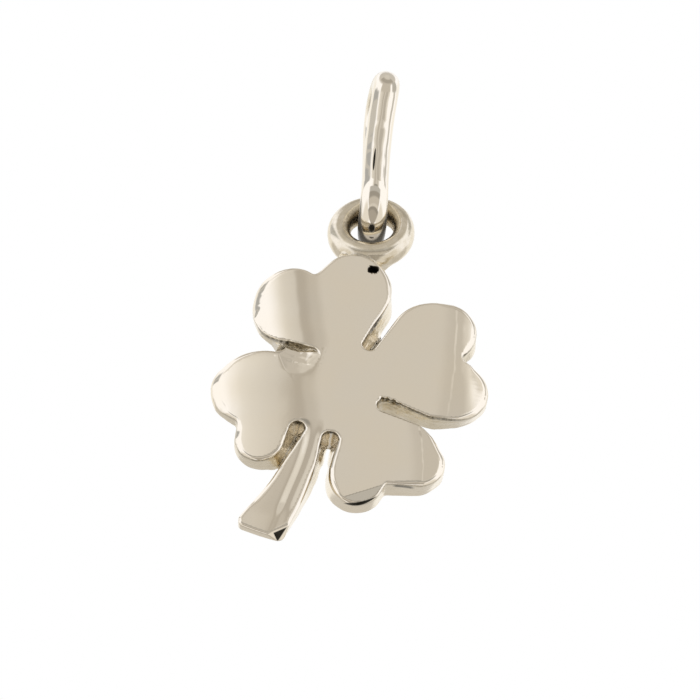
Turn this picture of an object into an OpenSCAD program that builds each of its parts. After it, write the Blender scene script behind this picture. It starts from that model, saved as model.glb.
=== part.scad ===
// Four-leaf clover pendant: a flat clover with a stem and a soldered eyelet,
// hanging from an oval bail. Millimetres, +Z up, the front faces -Y, and the
// origin is the inside of the bail's top, where a chain would carry it.

/* [Clover plate] */
// Thickness of the flat middle of the clover
plate_thickness = 1.15; // [0.8:0.05:1.8]
// Size of the clover against its drawn outline
clover_scale = 1.0; // [0.8:0.05:1.4]
// Distance from the middle at which the left side starts to roll back
left_roll_start = 1.5; // [0.5:0.1:3]
// Radius on which the left side of the front rolls back
left_roll_radius = 12; // [6:0.5:40]
// Distance from the middle at which the right side starts to roll back
right_roll_start = 2.8; // [1:0.1:4]
// Radius on which the right side of the front rolls back
right_roll_radius = 14; // [6:0.5:40]

/* [Stem] */
// Slope of the stem's left facet, in degrees
stem_facet_slope = 6; // [1:1:12]
// How much thinner the stem gets towards its foot, from behind
stem_foot_thinning = 0.66; // [0.1:0.01:0.68]

/* [Eyelet] */
// Radius of the middle of the eyelet's wire
eyelet_radius = 1.22; // [0.9:0.01:2]
// Half thickness of the eyelet's wire across the ring
eyelet_wire_across = 0.38; // [0.25:0.01:0.8]
// Half thickness of the eyelet's wire along the hole
eyelet_wire_along = 0.53; // [0.25:0.01:0.9]
// Lean of the eyelet's top towards the back, in degrees
eyelet_lean = 17; // [0:1:30]
// Turn of the eyelet's front towards the left, in degrees
eyelet_twist = 7; // [-10:1:10]
// Distance of the eyelet's middle behind the plate's middle
eyelet_set_back = 0.22; // [0:0.01:0.6]

/* [Bail] */
// Diameter of the bail's wire
bail_wire = 0.96; // [0.6:0.01:1.5]
// Radius of the bail's ends, at the middle of the wire
bail_end_radius = 1.25; // [1:0.05:2.5]
// Length of the bail's two straight sides
bail_side = 3.66; // [1:0.01:8]
// Lean of the bail's top to the left, in degrees
bail_lean = 2.4; // [-5:0.1:5]

/* [Hanging pose] */
// Gap between the eyelet's wire and the inside of the bail
running_gap = 0.08; // [0.02:0.01:0.2]
// Turn of the clover to the left or right, so that its weight hangs below the bail
hang_turn = -2.70; // [-10:0.01:10]
// Lean of the clover's foot to the back, so that its weight hangs below the bail
hang_lean = 4.35; // [-10:0.01:10]

/* [Hidden] */
$fn = 48;
arc_step = 12;
gold = [0.87, 0.83, 0.75];

// The outline runs clockwise, as seen from the front, round these circles like
// a belt round pulleys. A positive radius is metal inside the belt, such as a
// lobe; a negative one is a notch or the round end of a slit.
// columns: x, z of the circle's middle from the clover's middle, signed radius
CLOVER = [
    //  x       z      radius
    [-2.56,   2.69,   1.19],   // top leaf, left lobe, underside
    [-2.33,   3.05,   1.33],   // top leaf, left lobe
    [-1.68,   4.38,  -0.14],   // top leaf, notch
    [-0.19,   3.79,   1.34],   // top leaf, right lobe
    [ 0.60,   1.58,  -0.26],   // slit between top and right leaves
    [ 2.84,   1.95,   1.52],   // right leaf, upper lobe
    [ 3.34,   2.39,   1.03],   // right leaf, upper lobe, tip
    [ 4.36,   1.45,  -0.33],   // right leaf, notch
    [ 3.94,   0.01,   1.07],   // right leaf, lower lobe, tip
    [ 3.27,   0.40,   1.45],   // right leaf, lower lobe
    [ 1.37,  -0.79,  -0.31],   // slit between right and bottom leaves
    [ 2.22,  -2.60,   1.20],   // bottom leaf, right lobe
    [ 2.84,  -2.97,   0.88],   // bottom leaf, right lobe, tip
    [ 1.74,  -4.07,  -0.20],   // bottom leaf, notch
    [ 0.54,  -3.67,   1.03],   // bottom leaf, left lobe
    [-0.52,  -2.31,  -0.31],   // slit between bottom leaf and stem
    [-9.14,  -2.10,   8.28],   // stem, right side
    [-2.05,  -6.20,   0.20],   // stem, right corner of the foot
    [-3.33,  -5.88,   0.22],   // stem, left corner of the foot
    [-10.78,  0.25,  -9.40],   // stem, left side
    [-1.74,  -1.98,  -0.29],   // slit between stem and left leaf
    [-3.06,  -2.44,   0.88],   // left leaf, lower lobe
    [-4.16,  -1.87,  -0.22],   // left leaf, notch
    [-3.90,  -0.52,   1.07],   // left leaf, upper lobe, tip
    [-3.13,  -0.95,   1.93],   // left leaf, upper lobe
    [-1.52,   0.91,  -0.32],   // slit between left and top leaves
];
count = len(CLOVER);
// Middle of the eyelet, from the clover's middle
eyelet_at = [0.32, 6.47];
// The stem's ridge, from its upper end to the foot, from the clover's middle
ridge_top = [-1.33, -2.15];
ridge_foot = [-2.43, -5.85];

function wrap(a) = a - 360 * floor(a / 360);
function next(i) = (i + 1) % count;
function middle(i) = [CLOVER[i][0], CLOVER[i][1]];
function radius(i) = CLOVER[i][2];
// Direction of the straight run from circle i to the next one
function run_direction(i) =
    let (d = middle(next(i)) - middle(i))
    atan2(d[1], d[0]) + asin((radius(next(i)) - radius(i)) / norm(d));
// Angle through which the belt turns round circle i
function turn(i) =
    let (d = run_direction(i) - run_direction((i + count - 1) % count))
    radius(i) > 0 ? -wrap(-d) : wrap(d);
function steps(i) =
    max(1, ceil(abs(turn(i)) / (abs(radius(i)) > 5 ? arc_step / 3 : arc_step)));
function belt_point(i, direction) =
    middle(i) + radius(i) * [-sin(direction), cos(direction)];
outline = [
    for (i = [0 : count - 1])
        for (k = [0 : steps(i)])
            clover_scale * belt_point(i,
                run_direction((i + count - 1) % count) + turn(i) * k / steps(i))
];

// How far the front has rolled back at a distance x from the middle
function roll(x) =
    x < -left_roll_start
        ? left_roll_radius - sqrt(pow(left_roll_radius, 2) - pow(x + left_roll_start, 2))
        : x > right_roll_start
            ? right_roll_radius - sqrt(pow(right_roll_radius, 2) - pow(x - right_roll_start, 2))
            : 0;
half = plate_thickness / 2;
reach = 5.4 * clover_scale;
front_stations = concat(
    [for (k = [0 : 9]) -reach + (reach - left_roll_start) * k / 9],
    [for (k = [0 : 4]) right_roll_start + (reach - right_roll_start) * k / 4]
);
section = concat(
    [for (x = front_stations) [x, -half + roll(x)]],
    [[reach, half], [-reach, half]]
);

// Section of the eyelet's wire, as half widths across and along the ring
eyelet_section = [
    for (k = [0 : 19])
        [eyelet_radius + eyelet_wire_across * cos(k * 18), eyelet_wire_along * sin(k * 18)]
];
eyelet_middle = [clover_scale * eyelet_at[0], eyelet_set_back, clover_scale * eyelet_at[1]];
// The eyelet's wire at its top, which hangs in the bail
eyelet_top = eyelet_middle
    + eyelet_radius * [sin(eyelet_twist) * sin(eyelet_lean), cos(eyelet_twist) * sin(eyelet_lean), cos(eyelet_lean)];

bail_inner = bail_end_radius - bail_wire / 2;
// The upper and lower centres of the bail's round ends
bail_lower = [0, 0, -(bail_inner + bail_side * cos(bail_lean))];
// Half height of the eyelet's wire as it hangs, and its drop below the bail's lower centre
wire_tilt = eyelet_lean - hang_lean;
wire_down = sqrt(pow(eyelet_wire_across * cos(wire_tilt), 2) + pow(eyelet_wire_along * sin(wire_tilt), 2));
seat = bail_inner - running_gap - wire_down;
hang_at = bail_lower - [0, 0, seat];

// One plain prism from a drawing in the X-Z plane, centred on the plate
module along_y(depth) {
    translate([0, depth / 2, 0]) rotate([90, 0, 0]) linear_extrude(height = depth) children();
}

module plate() {
    difference() {
        intersection() {
            along_y(plate_thickness * 3) polygon(outline);
            translate([0, 0, -8 * clover_scale])
                linear_extrude(height = 16 * clover_scale) polygon(section);
        }
        stem_facet();
        stem_foot_back();
    }
}

// The stem falls away to the left of its ridge
module stem_facet() {
    d = ridge_foot - ridge_top;
    lean = atan2(-d[0], -d[1]);
    intersection() {
        along_y(4) polygon(clover_scale * [
            ridge_top, ridge_foot + 0.4 * d, [-6, -8], [-4.6, -4.2],
            [-2.75, -3.75], [-2.0, -2.5], [-1.75, -2.0]
        ]);
        translate([clover_scale * ridge_top[0], -half, clover_scale * ridge_top[1]])
            rotate([0, lean, 0])
                rotate([0, 0, -stem_facet_slope])
                    translate([-6, -4, -10]) cube([6, 4, 12]);
    }
}

// The back of the stem comes forward towards the foot
module stem_foot_back() {
    slope = atan(stem_foot_thinning / 2.4);
    translate([-5 * clover_scale, half, -4 * clover_scale])
        rotate([-slope, 0, 0]) translate([0, 0, -4 * clover_scale])
            cube([4.25 * clover_scale, 3, 4 * clover_scale]);
}

module eyelet() {
    translate(eyelet_middle)
        rotate([0, 0, -eyelet_twist]) rotate([90 - eyelet_lean, 0, 0])
            rotate_extrude() polygon(eyelet_section);
    // solder in the two corners between the eyelet and the leaf
    translate([eyelet_middle[0], 0, eyelet_middle[2]])
        along_y(0.8) polygon([[-1.12, -1.05], [0.82, -1.22], [0.72, -1.95], [-1.15, -1.85]]);
}

module clover() {
    color(gold)
        translate(hang_at)
            rotate([hang_lean, 0, 0]) rotate([0, hang_turn, 0])
                translate(-eyelet_top) {
                    union() {
                        plate();
                        eyelet();
                    }
                }
}

module bail_end() {
    rotate([0, 90, 0]) rotate_extrude(angle = 180, start = -90)
        translate([bail_end_radius, 0]) circle(d = bail_wire);
}

module bail() {
    color(gold)
        translate(bail_lower) rotate([0, -bail_lean, 0]) union() {
            for (side = [-1, 1])
                translate([0, side * bail_end_radius, 0]) cylinder(h = bail_side, d = bail_wire);
            bail_end();
            translate([0, 0, bail_side]) rotate([180, 0, 0]) bail_end();
        }
}

bail();
clover();
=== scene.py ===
import math
import bpy
import numpy as np
from mathutils import Matrix, Vector


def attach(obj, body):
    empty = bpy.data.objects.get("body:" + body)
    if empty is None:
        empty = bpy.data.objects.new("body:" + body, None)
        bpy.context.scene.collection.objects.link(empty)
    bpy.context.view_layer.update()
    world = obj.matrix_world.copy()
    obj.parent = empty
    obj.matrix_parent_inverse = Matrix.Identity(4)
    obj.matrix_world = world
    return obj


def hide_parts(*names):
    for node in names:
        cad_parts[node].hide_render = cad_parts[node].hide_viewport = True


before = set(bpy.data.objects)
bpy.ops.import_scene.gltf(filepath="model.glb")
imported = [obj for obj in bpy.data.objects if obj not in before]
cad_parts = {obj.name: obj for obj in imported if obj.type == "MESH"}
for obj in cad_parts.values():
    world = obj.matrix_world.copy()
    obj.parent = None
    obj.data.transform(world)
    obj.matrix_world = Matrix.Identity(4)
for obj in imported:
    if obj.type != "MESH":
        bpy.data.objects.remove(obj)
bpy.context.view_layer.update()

MM = 0.001
rad = math.radians

# ------------------------------------------------------------------ sizes, mm
HALF = 0.575                      # half of the plate's thickness
BAIL_WIRE = 0.96
BAIL_END = 1.25                   # radius of the bail's round ends
BAIL_SIDE = 3.66                  # its straight sides
BAIL_LEAN = rad(2.4)
EYELET_R, EYELET_ACROSS, EYELET_ALONG = 1.22, 0.38, 0.53
EYELET_LEAN, EYELET_TWIST = rad(17), rad(7)
EYELET_MID = np.array([0.32, 0.22, 6.47])
RUNNING_GAP = 0.08
HANG_TURN, HANG_LEAN = rad(-2.70), rad(4.35)

BAIL_INNER = BAIL_END - BAIL_WIRE / 2
A = np.array([0.0, 0.0, -(BAIL_INNER + BAIL_SIDE * math.cos(BAIL_LEAN))])


def rot_x(a):
    return np.array([[1, 0, 0], [0, math.cos(a), -math.sin(a)], [0, math.sin(a), math.cos(a)]])


def rot_y(a):
    return np.array([[math.cos(a), 0, math.sin(a)], [0, 1, 0], [-math.sin(a), 0, math.cos(a)]])


def rot_z(a):
    return np.array([[math.cos(a), -math.sin(a), 0], [math.sin(a), math.cos(a), 0], [0, 0, 1]])


eyelet_top = EYELET_MID + EYELET_R * np.array([
    math.sin(EYELET_TWIST) * math.sin(EYELET_LEAN),
    math.cos(EYELET_TWIST) * math.sin(EYELET_LEAN),
    math.cos(EYELET_LEAN)])
wire_tilt = EYELET_LEAN - HANG_LEAN
wire_down = math.hypot(EYELET_ACROSS * math.cos(wire_tilt), EYELET_ALONG * math.sin(wire_tilt))
HANG_AT = A - np.array([0, 0, BAIL_INNER - RUNNING_GAP - wire_down])
HANG = rot_x(HANG_LEAN) @ rot_y(HANG_TURN)


# ------------------------------------------------------------------ helpers
def smooth(x, a, b):
    t = np.clip((x - a) / (b - a), 0, 1)
    return t * t * (3 - 2 * t)


def bump(d, r):
    """1 at d = 0, falling smoothly to 0 at d = r."""
    t = np.clip(1 - (d / r) ** 2, 0, 1)
    return t * t


class Waves:
    """Smooth, repeatable unevenness: a few sine waves in fixed directions."""

    def __init__(self, seed, length, count=9):
        rng = np.random.default_rng(seed)
        k = rng.normal(size=(count, 3))
        k /= np.linalg.norm(k, axis=1)[:, None]
        self.k = k * (2 * math.pi / (length * rng.uniform(0.7, 1.5, count)))[:, None]
        self.p = rng.uniform(0, 2 * math.pi, count)
        self.n = math.sqrt(2.0 / count)

    def __call__(self, x, y, z):
        out = 0.0
        for (a, b, c), p in zip(self.k, self.p):
            out = out + np.sin(a * x + b * y + c * z + p)
        return out * self.n


# ------------------------------------------------------------------ outline
# columns: x, z of the circle's middle from the clover's middle, signed radius
CLOVER = np.array([
    [-2.56, 2.69, 1.19], [-2.33, 3.05, 1.33], [-1.68, 4.38, -0.14], [-0.19, 3.79, 1.34],
    [0.60, 1.58, -0.26], [2.84, 1.95, 1.52], [3.34, 2.39, 1.03], [4.36, 1.45, -0.33],
    [3.94, 0.01, 1.07], [3.27, 0.40, 1.45], [1.37, -0.79, -0.31], [2.22, -2.60, 1.20],
    [2.84, -2.97, 0.88], [1.74, -4.07, -0.20], [0.54, -3.67, 1.03], [-0.52, -2.31, -0.31],
    [-9.14, -2.10, 8.28], [-2.05, -6.20, 0.20], [-3.33, -5.88, 0.22], [-10.78, 0.25, -9.40],
    [-1.74, -1.98, -0.29], [-3.06, -2.44, 0.88], [-4.16, -1.87, -0.22], [-3.90, -0.52, 1.07],
    [-3.13, -0.95, 1.93], [-1.52, 0.91, -0.32]])
COUNT = len(CLOVER)
CENTRE, RADIUS = CLOVER[:, :2], CLOVER[:, 2]
_d = np.roll(CENTRE, -1, axis=0) - CENTRE
RUN = np.arctan2(_d[:, 1], _d[:, 0]) + np.arcsin((np.roll(RADIUS, -1) - RADIUS) / np.hypot(_d[:, 0], _d[:, 1]))
_t = RUN - np.roll(RUN, 1)
TURN = np.where(RADIUS > 0, -((-_t) % (2 * math.pi)), _t % (2 * math.pi))


def belt_point(i, direction):
    return CENTRE[i] + RADIUS[i] * np.array([-math.sin(direction), math.cos(direction)])


# where each circle's arc, and the straight run after it, start along the outline
ARC = []
_s = 0.0
for _i in range(COUNT):
    _a = abs(TURN[_i] * RADIUS[_i])
    ARC.append((_s, _s + _a))
    _s += _a + math.hypot(*(belt_point((_i + 1) % COUNT, RUN[_i]) - belt_point(_i, RUN[_i])))
OUTLINE = _s


def outline_distance(x, z):
    """Signed distance to the outline, positive outside the metal, the edge's outward direction, and the place along it."""
    best = np.full(x.shape, 1e9)
    arc = np.zeros(x.shape)
    out = np.full(x.shape, 1e9)
    nx = np.zeros(x.shape)
    nz = np.zeros(x.shape)
    for i in range(COUNT):
        cx, cz = CENTRE[i]
        r = RADIUS[i]
        qx, qz = x - cx, z - cz
        dist = np.hypot(qx, qz)
        if r > 0:
            phi = np.arctan2(-qx, qz)
            t = (RUN[i - 1] - phi) % (2 * math.pi)
            s = dist - r
        else:
            phi = np.arctan2(qx, -qz)
            t = (phi - RUN[i - 1]) % (2 * math.pi)
            s = -(dist + r)
        m = (t <= abs(TURN[i]) + 1e-9) & (np.abs(s) < best)
        best[m] = np.abs(s[m])
        out[m] = s[m]
        g = math.copysign(1, r) / np.maximum(dist[m], 1e-9)
        nx[m], nz[m] = qx[m] * g, qz[m] * g
        arc[m] = ARC[i][0] + t[m] * abs(r)
        p0 = belt_point(i, RUN[i])
        p1 = belt_point((i + 1) % COUNT, RUN[i])
        length = math.hypot(*(p1 - p0))
        c, sn = math.cos(RUN[i]), math.sin(RUN[i])
        along = (x - p0[0]) * c + (z - p0[1]) * sn
        s = -(x - p0[0]) * sn + (z - p0[1]) * c
        m = (along >= -1e-9) & (along <= length + 1e-9) & (np.abs(s) < best)
        best[m] = np.abs(s[m])
        out[m] = s[m]
        nx[m], nz[m] = -sn, c
        arc[m] = ARC[i][1] + along[m]
    return out, nx, nz, arc


# ------------------------------------------------------------------ clover
def line(table, z):
    """x of a line given by a table of (z, x), z rising."""
    t = np.array(table)
    return np.interp(z, t[:, 0], t[:, 1])


def soft_line(table, z, reach):
    """The same with its corners rounded."""
    out = 0.0
    for k, w in ((-1.0, 0.10), (-0.66, 0.15), (-0.33, 0.17), (0.0, 0.16), (0.33, 0.17), (0.66, 0.15), (1.0, 0.10)):
        out = out + w * line(table, z + k * reach)
    return out


def places(x, z, table, default, floor=0.05):
    """A value that changes from place to place: table of (x, z, reach, value)."""
    total, weight = default * floor, floor
    for px, pz, reach, value in table:
        w = np.exp(-((x - px) ** 2 + (z - pz) ** 2) / reach ** 2)
        total = total + w * value
        weight = weight + w
    return total / weight


# the filed outline departs a little from the drawn circles: place along the outline, shift outwards,
# and a further shift that grows towards the back
EDGE_SHIFT = [
    (0.0, -0.04, -0.05), (0.3, -0.04, -0.11), (0.6, -0.04, -0.10), (1.2, -0.02, -0.11), (1.5, 0.0, -0.05), (1.85, 0.0, 0.0),
    (2.15, 0.05, 0.0), (2.45, 0.05, 0.0), (2.9, 0.025, 0.0), (3.35, 0.0, 0.0), (4.6, 0.0, 0.0), (4.9, -0.09, 0.0),
    (5.2, -0.06, 0.0), (5.5, -0.04, 0.0), (5.9, 0.0, 0.0), (7.4, 0.0, 0.0), (7.7, 0.04, 0.0), (8.0, 0.07, 0.0),
    (8.5, 0.10, 0.0), (8.85, 0.10, 0.10), (9.15, 0.09, 0.16), (9.45, 0.09, 0.15), (9.75, 0.06, 0.15), (10.05, 0.02, 0.10),
    (10.5, 0.0, 0.05), (11.0, 0.0, 0.0), (14.4, 0.0, 0.0), (14.95, 0.05, 0.0), (15.5, 0.085, 0.0), (15.85, 0.10, 0.0),
    (16.45, 0.12, 0.0), (16.75, 0.11, 0.0), (17.05, 0.08, 0.07), (17.35, 0.03, 0.07), (17.7, 0.0, 0.0), (18.0, 0.05, 0.0),
    (18.3, 0.11, 0.0), (18.65, 0.09, 0.0), (18.95, 0.12, 0.0), (19.25, 0.09, 0.0), (19.6, 0.07, 0.0), (19.9, 0.03, 0.0),
    (20.2, -0.03, -0.07), (20.5, -0.05, -0.10), (20.8, -0.06, -0.12), (21.1, -0.06, -0.12), (21.4, -0.04, -0.08), (22.0, 0.0, 0.0),
    (26.4, 0.0, 0.0), (26.8, -0.05, 0.0), (27.2, 0.0, 0.0), (28.2, 0.0, 0.0), (28.5, -0.02, -0.02), (28.8, -0.06, -0.08),
    (29.1, -0.07, -0.08), (29.4, -0.05, -0.06), (29.7, -0.02, -0.04), (30.6, 0.0, 0.0), (31.0, 0.02, 0.0), (31.3, 0.06, 0.0),
    (31.6, 0.10, 0.0), (32.55, 0.10, 0.0), (32.85, 0.04, 0.0), (33.2, -0.02, 0.0), (33.6, -0.04, 0.0), (34.1, -0.03, 0.0),
    (34.6, 0.0, 0.0), (36.4, 0.0, 0.0), (36.9, 0.0, 0.09), (37.8, 0.0, 0.09), (38.4, 0.0, 0.08), (38.8, 0.02, 0.02),
    (39.3, 0.03, 0.03), (39.7, 0.02, 0.01), (40.5, 0.01, 0.01), (40.9, 0.02, 0.05), (41.2, 0.02, 0.04), (41.7, 0.0, 0.0),
    (42.1, -0.03, -0.02), (42.4, 0.01, 0.0), (42.9, 0.04, 0.0), (44.9, 0.03, 0.0), (45.4, 0.0, 0.0), (48.3, 0.0, 0.0),
    (48.8, 0.0, 0.06), (49.1, 0.0, 0.06), (49.6, 0.0, 0.0), (50.7, 0.0, 0.0), (51.0, 0.03, 0.0), (51.3, -0.03, 0.0),
    (51.6, 0.0, 0.0), (52.5, 0.0, 0.0), (52.8, -0.03, -0.02), (53.1, 0.0, 0.0), (53.7, 0.03, 0.0), (54.2, 0.0, 0.0),
    (54.7, 0.04, 0.0), (55.6, 0.04, 0.0), (56.0, 0.06, 0.0), (56.5, 0.03, 0.0), (57.0, 0.0, 0.0), (57.9, 0.0, 0.0), (58.4, -0.04, 0.03), (59.0, -0.05, 0.04),
]


def _edge_table(column):
    n = 2400
    at = np.arange(n) / n * OUTLINE
    t = np.array(EDGE_SHIFT + [(OUTLINE, -0.04, -0.05)])
    k = np.exp(-0.5 * (np.minimum(at, OUTLINE - at) / 0.13) ** 2)
    v = np.real(np.fft.ifft(np.fft.fft(np.interp(at, t[:, 0], t[:, column])) * np.fft.fft(k / k.sum())))
    return np.append(at, OUTLINE), np.append(v, v[0])


EDGE_FRONT, EDGE_BACK = _edge_table(1), _edge_table(2)

LEFT_LINE = [(-3.2, -1.50), (-1.5, -1.60), (-0.9, -1.73), (-0.3, -1.87), (0.4, -1.86),
             (1.1, -1.66), (1.6, -1.62), (2.3, -1.84), (3.1, -1.97), (4.1, -2.16), (5.2, -2.4)]
RIGHT_LINE = [(-1.10, 3.62), (-0.3, 3.66), (0.4, 3.74), (1.9, 3.71), (2.8, 3.68), (3.7, 3.65)]
BOTTOM_LINE = [(-4.6, 2.94), (-3.4, 2.91), (-2.8, 2.89), (-2.2, 2.81), (-1.7, 2.67), (-1.25, 2.61)]
RIDGE = [(-6.6, -2.34), (-5.5, -2.04), (-4.6, -1.79), (-3.75, -1.53), (-2.95, -1.34), (-2.2, -1.24), (-1.4, -1.20)]

# radius of the front edge: x, z, reach, radius
FRONT_EDGE = [
    (-3.75, 3.2, 0.6, 0.42), (-3.5, 2.05, 0.45, 0.03), (-3.2, 4.0, 0.6, 0.28), (-2.3, 4.4, 0.6, 0.13), (-1.6, 4.3, 0.5, 0.08),
    (-0.6, 5.1, 0.5, 0.10), (0.4, 5.0, 0.4, 0.08), (1.05, 4.3, 0.5, 0.24), (1.1, 3.0, 0.5, 0.12), (0.6, 1.6, 0.7, 0.06),
    (2.4, 3.4, 0.8, 0.12), (3.6, 3.3, 0.6, 0.22), (4.35, 2.3, 0.6, 0.20), (4.1, 1.4, 0.3, 0.06),
    (4.95, 0.1, 0.7, 0.22), (4.5, -0.8, 0.4, 0.22), (3.5, -1.05, 0.7, 0.06), (2.2, -0.9, 0.7, 0.05), (1.2, -0.8, 0.6, 0.04),
    (3.65, -2.6, 0.6, 0.26), (3.2, -3.75, 0.4, 0.18), (2.6, -3.85, 0.4, 0.10), (1.7, -3.85, 0.35, 0.07),
    (0.9, -4.6, 0.5, 0.09), (0.3, -4.7, 0.3, 0.12), (-0.35, -3.8, 0.5, 0.24), (-0.2, -2.9, 0.5, 0.20), (-0.5, -2.1, 0.4, 0.05),
    (-0.95, -3.2, 0.4, 0.07), (-1.45, -4.8, 0.6, 0.17), (-2.0, -6.3, 0.3, 0.08), (-2.85, -6.2, 0.35, 0.10),
    (-3.45, -5.8, 0.4, 0.12), (-2.6, -4.4, 0.5, 0.22), (-1.95, -2.9, 0.4, 0.12), (-1.75, -1.8, 0.4, 0.05),
    (-2.4, -2.7, 0.4, 0.12), (-3.1, -3.2, 0.5, 0.14), (-3.85, -2.5, 0.4, 0.24), (-4.1, -1.7, 0.3, 0.10),
    (-4.9, -0.6, 0.7, 0.34), (-4.2, 0.6, 0.6, 0.26), (-3.1, 1.0, 0.4, 0.14), (-2.35, 0.80, 0.32, 0.05), (-1.75, 0.60, 0.30, 0.05),
    (-1.5, 1.25, 0.3, 0.05), (-2.3, 1.5, 0.4, 0.03), (-3.2, 1.75, 0.5, 0.03),
]
BACK_EDGE = [
    (4.9, 0.1, 0.9, 0.24), (4.4, 2.3, 0.7, 0.22), (-3.7, 2.8, 0.9, 0.22), (-3.4, 2.0, 0.5, 0.26), (-4.9, -0.6, 0.8, 0.18),
    (0.5, -4.6, 0.8, 0.10), (2.8, -3.8, 0.8, 0.08), (-3.0, -3.2, 0.8, 0.10), (-2.6, -6.0, 1.0, 0.10), (3.4, -1.0, 1.0, 0.10),
]
# how far the wall spreads outwards from the front to the back: x, z, reach, spread
SPREAD = [
    (-1.55, 0.95, 0.55, 0.36), (-2.2, 1.15, 0.40, 0.36), (-2.7, 1.30, 0.22, 0.20), (-3.3, 1.75, 0.4, 0.0),
    (0.60, 1.50, 0.50, 0.34), (0.85, 2.1, 0.35, 0.32), (1.1, 2.9, 0.4, 0.05),
    (1.30, -0.80, 0.40, 0.16), (2.0, -0.95, 0.5, 0.11), (2.9, -1.05, 0.4, 0.02),
    (-0.52, -2.25, 0.40, 0.34), (-0.65, -2.75, 0.25, 0.24), (-0.35, -3.4, 0.40, 0.12), (-0.15, -4.1, 0.35, 0.10), (0.5, -4.8, 0.4, 0.02), (-0.95, -3.3, 0.3, 0.06),
    (-1.74, -1.90, 0.45, 0.36), (-2.1, -2.55, 0.35, 0.36), (-2.35, -3.1, 0.25, 0.24), (-3.0, -3.3, 0.35, 0.02),
]
# unpolished stretches of the wall, which also take the dark deposit and painted shade
ROUGH = [
    (-1.5, 1.1, 0.4, 0.8), (-2.3, 1.4, 0.5, 0.9), (-3.1, 1.7, 0.5, 0.8), (-3.8, 2.6, 0.5, 0.05), (-2.2, 0.7, 0.4, 0.2),
    (0.6, 1.6, 0.6, 0.40), (1.0, 2.4, 0.5, 0.8), (1.3, 3.4, 0.5, 0.2),
    (1.3, -0.8, 0.7, 1.0), (2.3, -1.0, 0.7, 0.9), (3.5, -1.2, 0.6, 0.9), (4.5, -0.8, 0.5, 0.2), (4.1, 1.4, 0.3, 0.9),
    (3.5, -3.2, 0.5, 0.15), (2.7, -3.9, 0.5, 0.35), (1.7, -3.9, 0.3, 0.4), (0.5, -4.7, 0.6, 0.15), (-0.25, -3.5, 0.45, 0.02), (-0.2, -4.3, 0.4, 0.02),
    (-0.55, -2.2, 0.5, 0.5), (-0.95, -3.2, 0.4, 0.7), (-1.1, -4.0, 0.4, 0.7), (-1.4, -4.9, 0.5, 0.15), (-1.9, -6.0, 0.5, 0.1), (-3.0, -6.0, 0.7, 0.1),
    (-1.74, -1.9, 0.6, 0.5), (-2.4, -2.8, 0.5, 0.6), (-3.2, -3.3, 0.5, 0.6), (-4.0, -2.2, 0.4, 0.6),
]
# how dark the ends of the slits are: dark deposit and painted shade
SLITS = ((4, 0.0), (10, 0.12), (15, 0.0), (20, 0.0), (25, 0.0))
# how far the dark deposit and painted shade reach down the wall from the front edge: x, z, reach, distance
UNDER = [
    (0.58, 1.55, 0.35, 0.10), (0.82, 2.25, 0.32, 0.52), (1.1, 2.8, 0.4, 0.36), (1.3, -0.55, 0.4, 0.40), (2.4, -0.9, 0.5, 0.30), (3.4, -1.1, 0.5, 0.34),
    (-1.6, -1.7, 0.3, 0.42), (-2.1, -2.3, 0.4, 0.20), (-0.5, -2.0, 0.3, 0.30), (-1.0, -3.2, 0.5, 0.40), (-2.0, 1.3, 0.5, 0.45), (-2.9, 1.6, 0.5, 0.36),
]

# painted light: paler stretches of the slits' walls: x, z, reach
PALE = [(0.60, 1.50, 0.70), (0.95, 2.15, 0.40), (-0.52, -2.25, 0.85), (-1.74, -2.05, 0.60), (-2.10, -2.60, 0.60), (-2.75, 1.25, 0.45)]

waves_fine = Waves(3, 1.5)
waves_wide = Waves(7, 3.8)
waves_wall = Waves(11, 0.42, 14)
waves_wall2 = Waves(12, 0.17, 18)
waves_pit = Waves(13, 0.24, 12)


def integrated(u, table):
    """Height for a slope that runs in straight pieces: table of (distance, slope in degrees)."""
    t = np.array(table)
    fine = np.linspace(t[0, 0], t[-1, 0], 2001)
    sf = np.interp(fine, t[:, 0], np.tan(np.radians(t[:, 1])))
    hf = np.concatenate([[0], np.cumsum((sf[1:] + sf[:-1]) / 2 * np.diff(fine))])
    return np.interp(u, fine, hf) + np.maximum(u - t[-1, 0], 0) * sf[-1]


LEFT_TOP = [(-0.95, 0), (-0.60, 2.2), (-0.34, 3.6), (-0.16, 4.8), (-0.02, 5.8), (0.10, 6.8), (0.24, 8.2),
            (0.60, 9.6), (0.90, 11.9), (1.20, 14.4), (1.60, 17.5), (1.90, 20.5), (2.4, 23)]
LEFT_LOW = [(-0.95, 0), (-0.60, 1.8), (-0.34, 3.0), (-0.14, 4.4), (0.02, 6.0), (0.16, 6.9), (0.30, 7.2),
            (0.60, 7.7), (1.10, 8.7), (1.60, 10.1), (2.10, 11.2), (2.50, 12.9), (2.9, 16.0), (3.30, 20.0)]
RIGHT_TOP = [(-0.75, 0), (-0.40, 1.4), (-0.14, 2.6), (-0.055, 3.3), (-0.020, 9.6), (0.050, 9.9), (0.090, 5.0),
             (0.16, 4.6), (0.24, 7.6), (0.32, 9.0), (0.45, 10.2), (0.53, 11.2), (0.60, 12.6), (0.70, 15.0), (0.9, 20)]
RIGHT_LOW = [(-0.75, 0), (-0.40, 1.4), (-0.14, 2.6), (-0.055, 3.3), (-0.020, 8.6), (0.050, 8.8), (0.090, 4.4),
             (0.30, 3.8), (0.45, 5.5), (0.67, 8.4), (0.82, 9.6), (0.92, 10.6), (1.00, 12.5), (1.10, 15.5), (1.3, 20)]
RIGHT_FOOT = [(-0.75, 0), (-0.40, 1.4), (-0.14, 2.6), (-0.055, 3.3), (-0.025, 9.5), (0.035, 9.7), (0.070, 4.4),
              (0.30, 3.8), (0.45, 4.6), (0.55, 6.5), (0.65, 9.0), (0.75, 12.0), (0.95, 17.0)]
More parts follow.
